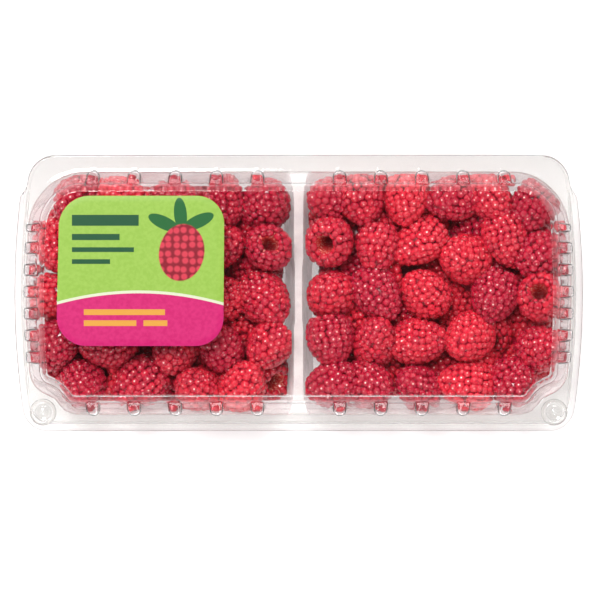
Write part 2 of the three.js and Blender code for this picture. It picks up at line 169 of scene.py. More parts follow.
FLOOR_HALF = 6.0
floor = put_mesh("studio_floor", [(-FLOOR_HALF, -FLOOR_HALF, 0), (FLOOR_HALF, -FLOOR_HALF, 0),
                                  (FLOOR_HALF, FLOOR_HALF, 0), (-FLOOR_HALF, FLOOR_HALF, 0)], [(0, 1, 2, 3)])
paper, place, output = new_material("white_sweep")
grain = place.noise(3.0, 1.0)
tone = grain.ramp(0.3, 0.7).mix((0.93, 0.93, 0.93, 1), (0.95, 0.95, 0.95, 1))
glow = place.along(1).ramp(0.0, 0.06).mix((1, 1, 1, 1), (0.6, 0.6, 0.6, 1))  # less where the key light falls
surface(output, place.node("ShaderNodeBsdfPrincipled", values={
    "Base Color": tone, "Roughness": 0.9, "Emission Color": glow, "Emission Strength": 0.36}))
floor.data.materials.append(paper)

LIGHTS = [  # name, place, length, width, watts
    ("soft_key", (-0.3, 0.66, 1.4), 0.45, 0.45, 12.0),
    ("strip_back", (0.0, 1.0, 0.95), 1.2, 0.14, 2.2),
    ("strip_front", (0.0, -1.0, 0.95), 1.2, 0.14, 4.0),
    ("strip_right", (1.1, 0.0, 0.8), 1.0, 0.14, 2.0),
    ("strip_left", (-1.1, 0.0, 0.8), 1.0, 0.14, 1.7),
]
for name, where, length, width, watts in LIGHTS:
    lamp = bpy.data.lights.new(name, "AREA")
    lamp.shape = "RECTANGLE"
    lamp.size = length
    lamp.size_y = width
    lamp.energy = watts
    holder = bpy.data.objects.new(name, lamp)
    bpy.context.scene.collection.objects.link(holder)
    aim = np.array((0.0, 0.0, 0.02)) - np.array(where)
    holder.location = where
    holder.rotation_euler = (np.arctan2(np.hypot(aim[0], aim[1]), -aim[2]), 0, np.arctan2(-aim[0], aim[1]))

world = bpy.data.worlds.new("soft_room")
world.use_nodes = True
sky = world.node_tree.nodes.new("ShaderNodeTexCoord")
direction = Wire(world.node_tree, sky.outputs["Generated"])
ceiling = direction.along(2).ramp(0.5, 0.88)
glow = ceiling.mix((0.55, 0.55, 0.55, 1), (0.03, 0.03, 0.03, 1))  # pale walls, a dark ceiling
world.node_tree.links.new(glow.socket, world.node_tree.nodes["Background"].inputs["Color"])
world.node_tree.nodes["Background"].inputs["Strength"].default_value = 1.0
bpy.context.scene.world = world
bpy.context.scene.view_settings.view_transform = "Standard"

lens = bpy.data.cameras.new("camera")
lens.sensor_width = 36.0
lens.lens = lens.sensor_width * (CAMERA_HEIGHT - RIM_Z) / (PIXEL * FRAME_PIXELS)
lens.clip_start = 0.05
camera = bpy.data.objects.new("camera", lens)
camera.location = (*FRAME_CENTRE, CAMERA_HEIGHT)
bpy.context.scene.collection.objects.link(camera)
bpy.context.scene.camera = camera


# The tray. One sheet of clear PET drawn into two tubs with a hollow ridge between them. A flat flange with a
# turned-down lip runs round it, and the wall's front corners bend in round the snap buttons. Its sizes, and
# those of the pieces after it, are in millimetres.

MM = 0.001
SHEET = 0.45
TRAY_DEPTH = 30.7
FLOOR_Z = 0.7  # a little over the base, as the sheet hangs below the surface that is drawn
WALL_FOOT_INSET = 6.2
WALL_FOOT_Z = 5.6
BOW = 0.000012  # the short sides bulge: x shrinks by this share for each square millimetre of y squared
WALL_HALF_X = 115.2
WALL_HALF_Y = 51.2
BACK_CORNER = 22.0
FRONT_CORNER = 10.0
NOTCH = 8.0
BUTTON = np.array((111.4, -50.3))  # before the bow
RIM_FRONT_RADIUS = 8.5
RIM_BACK_RADIUS = 10.0
BACK_EDGE = 58.2
FRONT_EDGE = 58.1
HALF_LENGTH = 120.2
LONG_FLUTES = 17.8 * np.arange(1, 6)
SHORT_FLUTES = 0.6 + 9.2 * np.arange(-3, 4)
LONG_FLUTE_RADIUS = 2.7
SHORT_FLUTE_RADIUS = 2.3
MIDDLE_HALF = 8.5  # half the stretch of wall that the ridge's flared end takes
MIDDLE = np.linspace(-MIDDLE_HALF, MIDDLE_HALF, 11)
RIDGE_TOP_Z = 27.0
RIDGE_TOP_HALF = 2.0
RIDGE_BASE_HALF = 6.5
RIDGE_END_HALF = 5.5
WAIST_HALF_LENGTH = 13.0
WAIST_DEPTH = 0.5
FLARE_LENGTH = 3.2
RIDGE_FILLET = MIDDLE_HALF - RIDGE_END_HALF
LIP_INSET = 3.7
LIP_FOOT_INSET = 2.5
LIP_DROP = 3.2
SKIRT_BACK_END = 45.5  # the lip and the skirt hang up to here, short of the hinge
SKIRT_RUN_OUT = 5.0


def arc(centre, radius, start, stop, count):
    """Points on a circle: centre plus radius times (cos, sin), angles from start to stop in degrees."""
    angle = np.radians(np.linspace(start, stop, count))
    return np.stack([centre[0] + radius * np.cos(angle), centre[1] + radius * np.sin(angle)], -1)


def bearing(start, end):
    return np.degrees(np.arctan2(end[1] - start[1], end[0] - start[0]))


REACH = FRONT_CORNER + NOTCH
SIDE_BEND = np.array((WALL_HALF_X - FRONT_CORNER, 0.0))
SIDE_BEND[1] = BUTTON[1] + np.sqrt(REACH**2 - (SIDE_BEND[0] - BUTTON[0]) ** 2)
FRONT_BEND = np.array((0.0, FRONT_CORNER - WALL_HALF_Y))
FRONT_BEND[0] = BUTTON[0] - np.sqrt(REACH**2 - (FRONT_BEND[1] - BUTTON[1]) ** 2)
BACK_BEND = np.array((WALL_HALF_X - BACK_CORNER, WALL_HALF_Y - BACK_CORNER))


def stations(start, stop, flutes, radius):
    """Places along a straight wall: every 4 mm, and much closer across each flute."""
    close = np.linspace(-radius - 0.5, radius + 0.5, 15)
    wide = np.arange(start, stop, 4.0)
    wide = wide[np.min(np.abs(wide[:, None] - flutes[None]), axis=1) > radius + 0.9]
    places = np.concatenate([wide, (flutes[:, None] + close).ravel()])
    return np.unique(places[(places > start + 0.3) & (places < stop - 0.3)])


FRONT_X, BACK_X = [
    np.concatenate([[MIDDLE_HALF], stations(MIDDLE_HALF, bend[0], LONG_FLUTES, LONG_FLUTE_RADIUS)])
    for bend in (FRONT_BEND, BACK_BEND)]
SIDE_Y = stations(SIDE_BEND[1], BACK_BEND[1], SHORT_FLUTES, SHORT_FLUTE_RADIUS)
BEND_POINTS = 11
BACK_POINTS = 20


def flat(xs, ys):
    return np.stack(np.broadcast_arrays(xs, ys), -1)


def wall_line(inset):
    """Right half of the wall line drawn in by inset, from the middle of the front to the middle of the back.

    The walls are straight, and the back corner is an arc of radius BACK_CORNER - inset. The front corner is
    an outward arc, an inward arc of radius NOTCH + inset round the button, and an outward arc again.
    """
    bend = max(FRONT_CORNER - inset, 1.0)
    return np.concatenate([
        flat(FRONT_X, inset - WALL_HALF_Y),
        arc(FRONT_BEND, bend, -90, bearing(FRONT_BEND, BUTTON), BEND_POINTS),
        arc(BUTTON, NOTCH + inset, bearing(BUTTON, FRONT_BEND), bearing(BUTTON, SIDE_BEND), BEND_POINTS),
        arc(SIDE_BEND, bend, bearing(SIDE_BEND, BUTTON), 0, BEND_POINTS),
        flat(WALL_HALF_X - inset, SIDE_Y),
        arc(BACK_BEND, BACK_CORNER - inset, 0, 90, BACK_POINTS),
        flat(BACK_X[::-1], WALL_HALF_Y - inset),
    ])


def rim_line(half_x, front, back):
    """Right half of a rounded rectangle with the same number of points as wall_line."""
    front_centre = (half_x - RIM_FRONT_RADIUS, RIM_FRONT_RADIUS - front)
    back_centre = (half_x - RIM_BACK_RADIUS, back - RIM_BACK_RADIUS)
    return np.concatenate([
        flat(FRONT_X, -front),
        arc(front_centre, RIM_FRONT_RADIUS, -90, 0, BEND_POINTS * 2),
        flat(half_x, np.linspace(front_centre[1], SIDE_Y[0], BEND_POINTS + 2)[1:-1]),
        flat(half_x, SIDE_Y),
        flat(half_x, np.linspace(SIDE_Y[-1], back_centre[1], BACK_POINTS // 2 + 2)[1:-1]),
        arc(back_centre, RIM_BACK_RADIUS, 0, 90, BACK_POINTS - BACK_POINTS // 2),
        flat(BACK_X[::-1], back),
    ])


def whole(half):
    """The right half with its mirror image, joined by a straight stretch in the middle of front and back."""
    return np.concatenate([
        flat(MIDDLE[1:-1], half[0, 1]), half, flat(MIDDLE[1:-1][::-1], half[-1, 1]), half[::-1] * (-1, 1)])


def bowed(line):
    """Points seen from above with the bulge of the short sides: x times one less BOW times y squared."""
    return line * np.stack([1 - BOW * line[..., 1] ** 2, np.ones_like(line[..., 1])], -1)


def lifted(line, z):
    """A line seen from above, bowed and raised to z, which may vary along it. Millimetres in, metres out."""
    return np.concatenate([bowed(line), np.broadcast_to(z, len(line))[:, None]], 1) * MM


def closing(ring, centre, shares=(1.0, 0.8, 0.55, 0.3, 0.1)):
    """Rings that shrink from a line towards a centre, to close a flat end with even faces."""
    return centre + (ring - centre) * np.reshape(shares, (-1, 1, 1))


def rounded(path, radius, steps):
    """A path whose corners become parabolas, each from `radius` before the corner to `radius` after it."""
    path = np.asarray(path, dtype=float)
    before, corner, after = path[:-2], path[1:-1], path[2:]
    into = np.linalg.norm(corner - before, axis=1, keepdims=True)
    out = np.linalg.norm(after - corner, axis=1, keepdims=True)
    start = corner + (before - corner) / into * np.minimum(radius, into * 0.45)
    end = corner + (after - corner) / out * np.minimum(radius, out * 0.45)
    t = np.linspace(0, 1, steps)[None, :, None]
    curve = start[:, None] * (1 - t) ** 2 + corner[:, None] * 2 * t * (1 - t) + end[:, None] * t**2
    return np.concatenate([path[:1], curve.reshape(-1, 2), path[-1:]])


def refined(path, longest):
    """The same path with more points, so that no stretch is longer than `longest`."""
    path = np.asarray(path)
    counts = np.maximum(1, np.ceil(np.linalg.norm(np.diff(path, axis=0), axis=1) / longest)).astype(int)
    pieces = [np.linspace(a, b, n, endpoint=False) for a, b, n in zip(path[:-1], path[1:], counts)]
    return np.concatenate([*pieces, path[-1:]])


def band_quads(rows, columns, start=0, closed=True):
    """Quads between neighbouring rows of points, each row a closed line, or an open one."""
    i, j = np.meshgrid(np.arange(rows - 1), np.arange(columns if closed else columns - 1), indexing="ij")
    k = (j + 1) % columns
    quads = np.stack([i * columns + j, i * columns + k, (i + 1) * columns + k, (i + 1) * columns + j], -1)
    return quads.reshape(-1, 4) + start


def sheet_object(name, patches, caps, thickness, offset):
    """One formed sheet: grids of points, each with closed and flip, and end caps, given a wall thickness."""
    points, faces, start = [], [], 0
    for grid, closed, flip in patches:
        rows, columns = grid.shape[:2]
        quads = band_quads(rows, columns, start, closed)
        faces += [tuple(q) for q in (quads[:, ::-1] if flip else quads).tolist()]
        points.append(grid.reshape(-1, 3))
        start += rows * columns
    for line, flip in caps:
        ring = list(range(start, start + len(line)))
        faces.append(tuple(ring[::-1] if flip else ring))
        points.append(line)
        start += len(line)
    made = put_mesh(name, np.concatenate(points), faces=faces)
    work = bmesh.new()
    work.from_mesh(made.data)
    bmesh.ops.remove_doubles(work, verts=work.verts, dist=1e-6)
    bmesh.ops.dissolve_degenerate(work, dist=1e-7, edges=work.edges)
    bmesh.ops.recalc_face_normals(work, faces=work.faces)
    work.to_mesh(made.data)
    work.free()
    wall = made.modifiers.new("wall", "SOLIDIFY")
    wall.thickness = thickness * MM
    wall.offset = offset
    return made


def skirt_share(line):
    """1 where lip and skirt hang at full depth, 0 along the hinge, and a smooth step on the short sides."""
    t = np.clip((SKIRT_BACK_END - line[:, 1]) / SKIRT_RUN_OUT, 0, 1)
    return t * t * (3 - 2 * t)


def ridge_half(y, wall_y, z):
    """Half the ridge's width: top less waist, plus the flare near the wall, plus the slope down to z."""
    waist = WAIST_DEPTH / (1 + np.exp((np.abs(y) - WAIST_HALF_LENGTH) * 1.6))
    flare = (RIDGE_END_HALF - RIDGE_TOP_HALF) * np.exp(-(wall_y - np.abs(y)) / FLARE_LENGTH)
    slope = (RIDGE_BASE_HALF - RIDGE_TOP_HALF) * (1 - z / RIDGE_TOP_Z)
    return RIDGE_TOP_HALF - waist + flare + slope


RIDGE_Y = np.linspace(1, -1, 61)


def tub_line(inset, z_wall, z_ridge):
    """One ring of the right tub: the wall line, then the ridge's flank back to front, with filleted ends."""
    half = wall_line(inset)
    wall_y = WALL_HALF_Y - inset
    y = RIDGE_Y * (wall_y - RIDGE_FILLET)
    flank = flat(ridge_half(y, wall_y, z_ridge), y)
    back = arc((flank[0, 0] + RIDGE_FILLET, y[0]), RIDGE_FILLET, 90, 180, 8)[1:-1]
    front = arc((flank[-1, 0] + RIDGE_FILLET, y[-1]), RIDGE_FILLET, 180, 270, 8)[1:-1]
    step = np.linspace(0, 1, 8)[1:-1]
    rise = step * step * (3 - 2 * step)
    z = np.concatenate([
        np.full(len(half), z_wall), z_wall + (z_ridge - z_wall) * rise,
        np.full(len(flank), z_ridge), z_ridge + (z_wall - z_ridge) * rise])
    return lifted(np.concatenate([half, back, flank, front]), z)


# Inset and height down the wall, and height down the ridge's flank, from the rim to the floor
wall_path = rounded([(0, TRAY_DEPTH), (WALL_FOOT_INSET, WALL_FOOT_Z), (7.2, 2.2), (8.9, FLOOR_Z)], 1.6, 5)
wall_path = refined(wall_path, 2.5)
ridge_z = np.interp(wall_path[:, 1], (FLOOR_Z, TRAY_DEPTH), (FLOOR_Z, RIDGE_TOP_Z))
right_tub = np.stack([tub_line(i, z, r) for (i, z), r in zip(wall_path, ridge_z)])
left_tub = right_tub * (-1, 1, 1)
half_count = len(wall_line(0))
right_floor = closing(right_tub[-1], right_tub[-1].mean(0))
left_floor = right_floor * (-1, 1, 1)
crest = right_tub[0, half_count - 1:]  # along the ridge's top edge, from the back wall to the front wall
crest = np.concatenate([crest, right_tub[0, :1]])
ridge_top = np.linspace(crest * (-1, 1, 1), crest, len(MIDDLE), axis=1)
flange_inner = whole(wall_line(0))
lip, lip_foot = [whole(rim_line(HALF_LENGTH - inset, FRONT_EDGE - inset, BACK_EDGE))
                 for inset in (LIP_INSET, LIP_FOOT_INSET)]
hang = skirt_share(lip)
lip_foot = lip + (lip_foot - lip) * hang[:, None]
flange = np.stack([
    *(lifted(flange_inner + (lip - flange_inner) * share, TRAY_DEPTH) for share in (0.0, 0.06, 0.5, 0.94)),
    lifted(lip, TRAY_DEPTH - 0.2 * hang),
    lifted(lip + (lip_foot - lip) * 0.3, TRAY_DEPTH - 1.0 * hang),
    lifted(lip_foot, TRAY_DEPTH - LIP_DROP * hang - 0.1),
])
tray = sheet_object(
    "tray_sheet",
    [(right_tub, True, False), (left_tub, True, True), (ridge_top, False, False), (flange, True, True),
     (right_floor, True, False), (left_floor, True, True)],
    [(right_floor[-1], False), (left_floor[-1], True)],
    SHEET, -1.0)


# The tray's plastic. The sheet is too thin to bend the view, so light goes straight through where it faces
# the eye. It turns pale and glossy towards its edges. Along the ridge's stretched top it is cloudy, partly
# real haze and partly painted light, tinted pink as a painted reflection of the berries.


def thin_pet(name, facing_share, edge_share, colour):
    """Clear thin sheet. A share of it scatters and mirrors the light, which grows as it is seen edge-on."""
    material, place, output = new_material(name)
    streaks = place.noise(120.0)
    normal = streaks.bump(0.2, 0.0005)
    cloudy = place.node("ShaderNodeBsdfPrincipled", values={
        "Base Color": colour, "Roughness": streaks.ramp(0.3, 0.7, 0.08, 0.2), "Normal": normal})
    through = place.node("ShaderNodeBsdfTransparent", values={"Color": (0.985, 0.985, 0.985, 1)})
    slant = place.node("ShaderNodeLayerWeight", values={"Blend": 0.5}, output=1)
    amount = slant.ramp(0.35, 0.95, facing_share, edge_share) * streaks.ramp(0.3, 0.7, 0.85, 1.1)
    surface(output, place.node("ShaderNodeMixShader", values={0: amount, 1: through, 2: cloudy}))
    return material


tray_clear = thin_pet("clear_pet_tray", 0.05, 0.6, (0.95, 0.93, 0.92, 1))
tray.data.materials.append(tray_clear)
# Ridge top: partly real haze, partly painted light over the shaded groove; its pink is a painted reflection
# of the berries.
tray.data.materials.append(thin_pet("cloudy_pet_ridge_painted_light", 0.60, 0.7, (0.76, 0.68, 0.67, 1)))
CLOUD_AND_PAINT_HALF_WIDTH = 2.6
CLOUD_AND_PAINT_HALF_LENGTH = 47.0
for face in tray.data.polygons:
    x, y, z = (side / MM for side in face.center)
    if abs(x) < CLOUD_AND_PAINT_HALF_WIDTH and abs(y) < CLOUD_AND_PAINT_HALF_LENGTH and z > RIDGE_TOP_Z - 1.0:
        face.material_index = 1
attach(tray, "tray")
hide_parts("tray")


# The lid. A second clear sheet, hinged to the tray along the back. It has a raised panel on sloping walls
# with vent flutes, a flange on the tray's flange, and a flared skirt that hangs over the lip on three sides.

LID_Z = 31.2  # underside of the lid's flange
SHOULDER_Z = 42.2
PANEL_Z = 44.5
SHOULDER_INSET = 5.9
PANEL_INSET = 8.3
FLUTE_TOP_Z = 41.0
SKIRT_FLARE = 2.6
SKIRT_DROP = 4.7
flute_long = np.min(np.abs(FRONT_X[:, None] - LONG_FLUTES), axis=1)
flute_back = np.min(np.abs(BACK_X[::-1][:, None] - LONG_FLUTES), axis=1)
flute_side = np.min(np.abs(SIDE_Y[:, None] - SHORT_FLUTES), axis=1)


def flute_inset(away, radius, power, z):
    """How far a flute's face lies inside the wall line: radius less the root of radius^p - away^p.

    The power is 2 for the half-round flutes and higher for the square ones. Near its top a flute narrows.
    """
    size = radius * (1 - 0.12 * np.clip((z - FLUTE_TOP_Z + 0.7) / 0.7, 0, 1) ** 2)
    reach = np.clip(size**power - away**power, 0, None) ** (1 / power)
    return np.where(away < size, radius - reach, np.inf)


def lid_line(inset, z):
    """One ring of the lid's wall. Where a flute stands out, the wall follows the flute's face instead."""
    half = wall_line(inset)
    if z <= FLUTE_TOP_Z:
        side_start = len(FRONT_X) + 3 * BEND_POINTS
        side_end = side_start + len(SIDE_Y)
        front = np.minimum(inset, flute_inset(flute_long, LONG_FLUTE_RADIUS, 2, z))
        side = np.minimum(inset, flute_inset(flute_side, SHORT_FLUTE_RADIUS, 5, z))
        back = np.minimum(inset, flute_inset(flute_back, LONG_FLUTE_RADIUS, 2, z))
        half[:len(FRONT_X), 1] = front - WALL_HALF_Y
        half[side_start:side_end, 0] = WALL_HALF_X - side
        half[-len(BACK_X):, 1] = WALL_HALF_Y - back
    return lifted(whole(half), z)


flute_top_inset = 0.5 + (SHOULDER_INSET - 0.5) * (FLUTE_TOP_Z - LID_Z - 0.6) / (SHOULDER_Z - LID_Z - 0.6)
dome_path = rounded([(0.2, LID_Z), (0.5, LID_Z + 0.6), (SHOULDER_INSET, SHOULDER_Z), (PANEL_INSET, PANEL_Z),
                     (PANEL_INSET + 0.6, PANEL_Z)], 1.0, 6)[1:]
flute_rows = [(flute_top_inset - 0.5 * drop, FLUTE_TOP_Z - drop) for drop in (0.6, 0.35, 0.15, 0.0)]
flute_rows.append((flute_top_inset, FLUTE_TOP_Z + 0.01))
below = dome_path[dome_path[:, 1] < FLUTE_TOP_Z - 1]
above = dome_path[dome_path[:, 1] > FLUTE_TOP_Z + 0.05]
dome_path = np.concatenate([refined(np.concatenate([below, flute_rows[:1]]), 1.2), flute_rows[1:], above])
dome = np.stack([lid_line(i, z) for i, z in dome_path])
panel = closing(dome[-1], np.array((0, 0, PANEL_Z * MM)))
skirt_top = whole(rim_line(HALF_LENGTH - SKIRT_FLARE, FRONT_EDGE - SKIRT_FLARE, BACK_EDGE))
skirt_foot = whole(rim_line(HALF_LENGTH, FRONT_EDGE, BACK_EDGE))
drop = skirt_share(skirt_top)
skirt_foot = skirt_top + (skirt_foot - skirt_top) * drop[:, None]
dome_foot = dome[0, :, :2] / MM
dome_foot[:, 0] /= 1 - BOW * dome_foot[:, 1] ** 2
lid_flange = np.stack([
    lifted(skirt_foot, LID_Z - SKIRT_DROP * drop),
    lifted(skirt_foot - (skirt_foot - skirt_top) * 0.15, LID_Z - 4.4 * drop),
    lifted(skirt_top + (skirt_foot - skirt_top) * 0.3, LID_Z - 1.0 * drop),
    lifted(skirt_top, LID_Z - 0.1 * drop),
    *(lifted(dome_foot + (skirt_top - dome_foot) * share, LID_Z + 0.05) for share in (0.93, 0.5, 0.08)),
    dome[0],
])
lid = sheet_object("lid_sheet", [(lid_flange, True, False), (dome, True, False), (panel, True, False)],
                   [(panel[-1], False)], SHEET, 1.0)


# The lid's plastic refracts on both faces and is slightly wavy from the mould. Light for the berries passes
# straight through it, as through any thin sheet. The flange and the skirt are tinted grey as painted shade.


def clear_pet(name, waviness):
    material, place, output = new_material(name)
    waves = place.noise(55.0)
    fine = place.noise(420.0, 1.0)
    height = waves * 0.8 + fine * 0.2
    normal = height.bump(waviness, 0.0006)
    rough = fine.ramp(0.35, 0.7, 0.01, 0.05)
    wall_tint = (0.985, 0.985, 0.985, 1)
    # Painted shade: the flange and, greyer still, the skirt are tinted darker than the sheet's own faint
    # tint.
    flange_painted_shade = (0.855, 0.845, 0.83, 1)
    skirt_painted_shade = (0.82, 0.80, 0.795, 1)
    level = place.along(2) / MM
    tint = level.ramp(LID_Z - 3.2, LID_Z - 0.8).mix(skirt_painted_shade, flange_painted_shade)
    tint = level.ramp(LID_Z + 0.7, LID_Z + 2.2).mix(tint, wall_tint)
    glass = place.node("ShaderNodeBsdfPrincipled", values={
        "Base Color": tint, "Roughness": rough, "IOR": 1.5, "Transmission Weight": 1.0, "Normal": normal})
    through = place.node("ShaderNodeBsdfTransparent", values={"Color": (0.97, 0.975, 0.975, 1)})
    shadow = place.node("ShaderNodeLightPath", output=1)
    surface(output, place.node("ShaderNodeMixShader", values={0: shadow, 1: glass, 2: through}))
    return material


lid_clear = clear_pet("clear_pet_lid", 0.18)
lid.data.materials.append(lid_clear)
# Painted highlight: a pale pinkish line on the front bends of the panel and the shoulder.
lid.data.materials.append(thin_pet("pet_bend_painted_highlight", 0.10, 0.5, (0.97, 0.90, 0.89, 1)))
FRONT_BENDS_Y = -36.0  # in front of this the two bends of the wall carry a pale painted highlight line
for face in lid.data.polygons:
    x, y, z = (side / MM for side in face.center)
    if y < FRONT_BENDS_Y and (PANEL_Z - 0.22 < z < PANEL_Z - 0.01 or SHOULDER_Z < z < SHOULDER_Z + 0.15):
        face.material_index = 1
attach(lid, "lid")
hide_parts("lid")


# The snap buttons. A round dome pressed into the lid at each front corner, with a dimple and a nipple in its
# middle, clips to a low round stud on the tray. Each profile lists radius and height from the edge inwards.

BUTTON_SPOT = bowed(BUTTON)
BUTTON_SHEET = 0.22
BUTTON_SIDES = 24
DOME_PROFILE = [(5.6, 31.73), (4.9, 31.95), (4.55, 32.9), (4.15, 33.2), (3.2, 33.25),
                (2.6, 32.75), (1.5, 32.7), (0.9, 33.1), (0.35, 33.2)]
STUD_PROFILE = [(3.4, 30.72), (3.1, 31.05), (2.6, 31.12), (1.2, 31.12), (0.4, 31.12)]
for side_name, side in (("right", 1), ("left", -1)):
    for name, profile, body, skin in (("button_dome", DOME_PROFILE, "lid", lid_clear),
                                      ("button_stud", STUD_PROFILE, "tray", tray_clear)):
        last_turn = 360 - 360 / BUTTON_SIDES
        rings = np.stack([
            np.concatenate([arc(BUTTON_SPOT * (side, 1), radius, 0, last_turn, BUTTON_SIDES),
                            np.full((BUTTON_SIDES, 1), z)], 1) * MM
            for radius, z in profile])
        button = sheet_object(
            f"{name}_{side_name}", [(rings, True, False)], [(rings[-1], False)], BUTTON_SHEET, -1.0)
        button.data.materials.append(skin)
        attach(button, body)


# The living hinge. Tray and lid are one sheet, folded over between the two flanges along the back. The fold
# is one strip along the hinge line, in the tray's plastic.

HINGE_HALF = 100.0
HINGE_Y = 58.22
HINGE_Z = 30.95
turn = np.radians(np.linspace(-90, 90, 9))
outer, inner = [np.stack([HINGE_Y + reach * np.cos(turn), HINGE_Z + rise * np.sin(turn)], -1)
                for reach, rise in ((0.17, 0.4), (0.06, 0.3))]
loop = np.concatenate([outer, inner[::-1]])
slices = [np.concatenate([np.full((len(loop), 1), x), loop], 1)
          for x in np.linspace(-HINGE_HALF, HINGE_HALF, 21)]
faces = [tuple(quad) for quad in band_quads(len(slices), len(loop)).tolist()]
last = (len(slices) - 1) * len(loop)
for k in range(len(turn) - 1):
    end = (k, k + 1, len(loop) - 2 - k, len(loop) - 1 - k)
    faces.append(end[::-1])
    faces.append(tuple(corner + last for corner in end))
hinge = put_mesh("hinge_fold", np.concatenate(slices) * MM, faces=[face[::-1] for face in faces])
hinge.data.materials.append(tray_clear)
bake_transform(hinge)


# The raspberries. Each is a thimble of some seventy drupelets round a hollow where the stem was, soft enough
# to flatten on the sheet. The upper ones lie as they show from above, and the lower ones fill the tubs.

BERRY_RADIUS = 11.5
BERRY_LENGTH = 22.5
HEAP_TOP_Z = 37.0
SETTLE_STEPS = 90
SOFTNESS = 0.9  # neighbours come this near, as a share of their two radii
WALL_SOFTNESS = 0.93
GAP = 0.3
SKIN_ROOM = 0.5
SKIN_RISE = 2.3  # how far the drupelets may stand over HEAP_TOP_Z
DOME_LEAN = 4.1  # how far the lid's wall leans in, up to its shoulder
DOME_ROOM = 0.9
LOWER_START = (18, -33)
LOWER_STEP = (20.5, 22)
LOWER_SHIFT = 3.5
# How a berry lies: the height of its centre, then the least and most tilt of its tip from upright in degrees
LYING = (26.5, 30, 88)
DEEP = (21.5, 30, 88)
TIP_UP = (26.5, 5, 20)
HOLLOW_UP = (26.5, 150, 165)
LOWER = (12.0, 60, 150)
RIGHT_UPPER = [
    (LYING, [(16, 37), (36, 39), (58, 34), (74, 36), (91, 37), (100, 44)]),
    (LYING, [(35, 22), (58, 14), (80, 16), (100, 23), (33, 0), (69, -4)]),
    (LYING, [(14, -25), (37, -18), (60, -24), (83, -24), (101, -21)]),
    (LYING, [(13, -39), (34, -38), (65, -41), (90, -38)]),
    (DEEP, [(51, -3), (83, -5), (47, -35)]),
    (TIP_UP, [(12, -7)]),
    (HOLLOW_UP, [(13, 16), (97, -1)]),
]
LEFT_UPPER = [
    (LYING, [(-16, 40), (-36, 37), (-56, 40), (-77, 41), (-95, 40)]),
    (LYING, [(-106, 24), (-85, 22), (-65, 22), (-48, 20)]),
    (LYING, [(-105, 6), (-90, 3), (-72, 4), (-54, 2), (-38, 0), (-16, -2)]),
    (LYING, [(-106, -13), (-90, -18), (-59, -20), (-37, -22), (-16, -24)]),
    (LYING, [(-96, -35), (-72, -39), (-48, -39), (-20, -41)]),
    (DEEP, [(-30, 18), (-76, -22)]),
    (HOLLOW_UP, [(-16, 19)]),
]


def scatter(number, trait):
    """Repeatable value from 0 to 1 for a number and one of its traits: the fraction of a large sine."""
    value = np.sin(number * 127.1 + trait * 311.7) * 43758.5453
    return value - np.floor(value)


def tray_inset(z):
    return WALL_FOOT_INSET * np.clip((TRAY_DEPTH - z) / (TRAY_DEPTH - WALL_FOOT_Z), 0, 1)


def place_berries(side, upper):
    """Arrays for one half's berries: centre, axis towards the tip, radius, length, number, upper or not."""
    rows = [(x, y, *lie) for lie, places in upper for x, y in places]
    first_number = 1 if side > 0 else 101
    for row in range(4):
        for column in range(5):
            number = len(rows) + first_number
            x = LOWER_START[0] + LOWER_STEP[0] * column + (row % 2) * LOWER_SHIFT
            y = LOWER_START[1] + LOWER_STEP[1] * row + LOWER_SHIFT * (scatter(number, 5) - 0.5)
            rows.append((side * x, y, *LOWER))
    rows = np.array(rows)
    number = np.arange(len(rows)) + first_number
    tilt = np.radians(rows[:, 3] + (rows[:, 4] - rows[:, 3]) * scatter(number, 1))
    turn = 2 * np.pi * scatter(number, 2)
    axis = np.stack([np.sin(tilt) * np.cos(turn), np.sin(tilt) * np.sin(turn), np.cos(tilt)], -1)
    radius = BERRY_RADIUS * (0.93 + 0.14 * scatter(number, 3))
    length = BERRY_LENGTH * (0.92 + 0.16 * scatter(number, 4))
    return rows[:, :3].copy(), axis, radius, length, number, rows[:, 2] > LOWER[0]


def within_corner(x, y, side, limit):
    """x and y kept within `limit` of the centre of the tray's round back corner, where they are beyond it."""
    bulge = 1 - BOW * y**2
    away = np.stack([side * x / bulge, y], -1) - BACK_BEND
    distance = np.linalg.norm(np.clip(away, 0, None), axis=1)
    shrink = np.where((away > 0).all(1), np.minimum(1, limit / np.maximum(distance, 1e-6)), 1)
    moved = BACK_BEND + away * shrink[:, None]
    return side * moved[:, 0] * bulge, moved[:, 1]


def kept_inside(points, side, room):
    """Points moved to keep `room` to the tub's walls, floor and ridge, the notch and the heap's top."""
    z = np.clip(points[:, 2], FLOOR_Z + GAP + room, HEAP_TOP_Z - room)
    inset = tray_inset(points[:, 2])
    wall_x = WALL_HALF_X * (1 - BOW * points[:, 1] ** 2)
    share = np.clip(z / RIDGE_TOP_Z, 0, 1)
    near = RIDGE_BASE_HALF + (RIDGE_TOP_HALF - RIDGE_BASE_HALF) * share + GAP + room
    x = side * np.clip(side * points[:, 0], near, wall_x - inset - GAP - room)
    across = WALL_HALF_Y - inset - GAP - room
    y = np.clip(points[:, 1], -across, across)
    x, y = within_corner(x, y, side, BACK_CORNER - inset - GAP - room)
    away = np.stack([x, y], -1) - np.array((side, 1)) * BUTTON_SPOT
    distance = np.linalg.norm(away, axis=1)
    grow = np.maximum(1, (NOTCH + inset + GAP + room) / distance)[:, None]
    return np.concatenate([np.array((side, 1)) * BUTTON_SPOT + away * grow, z[:, None]], 1)


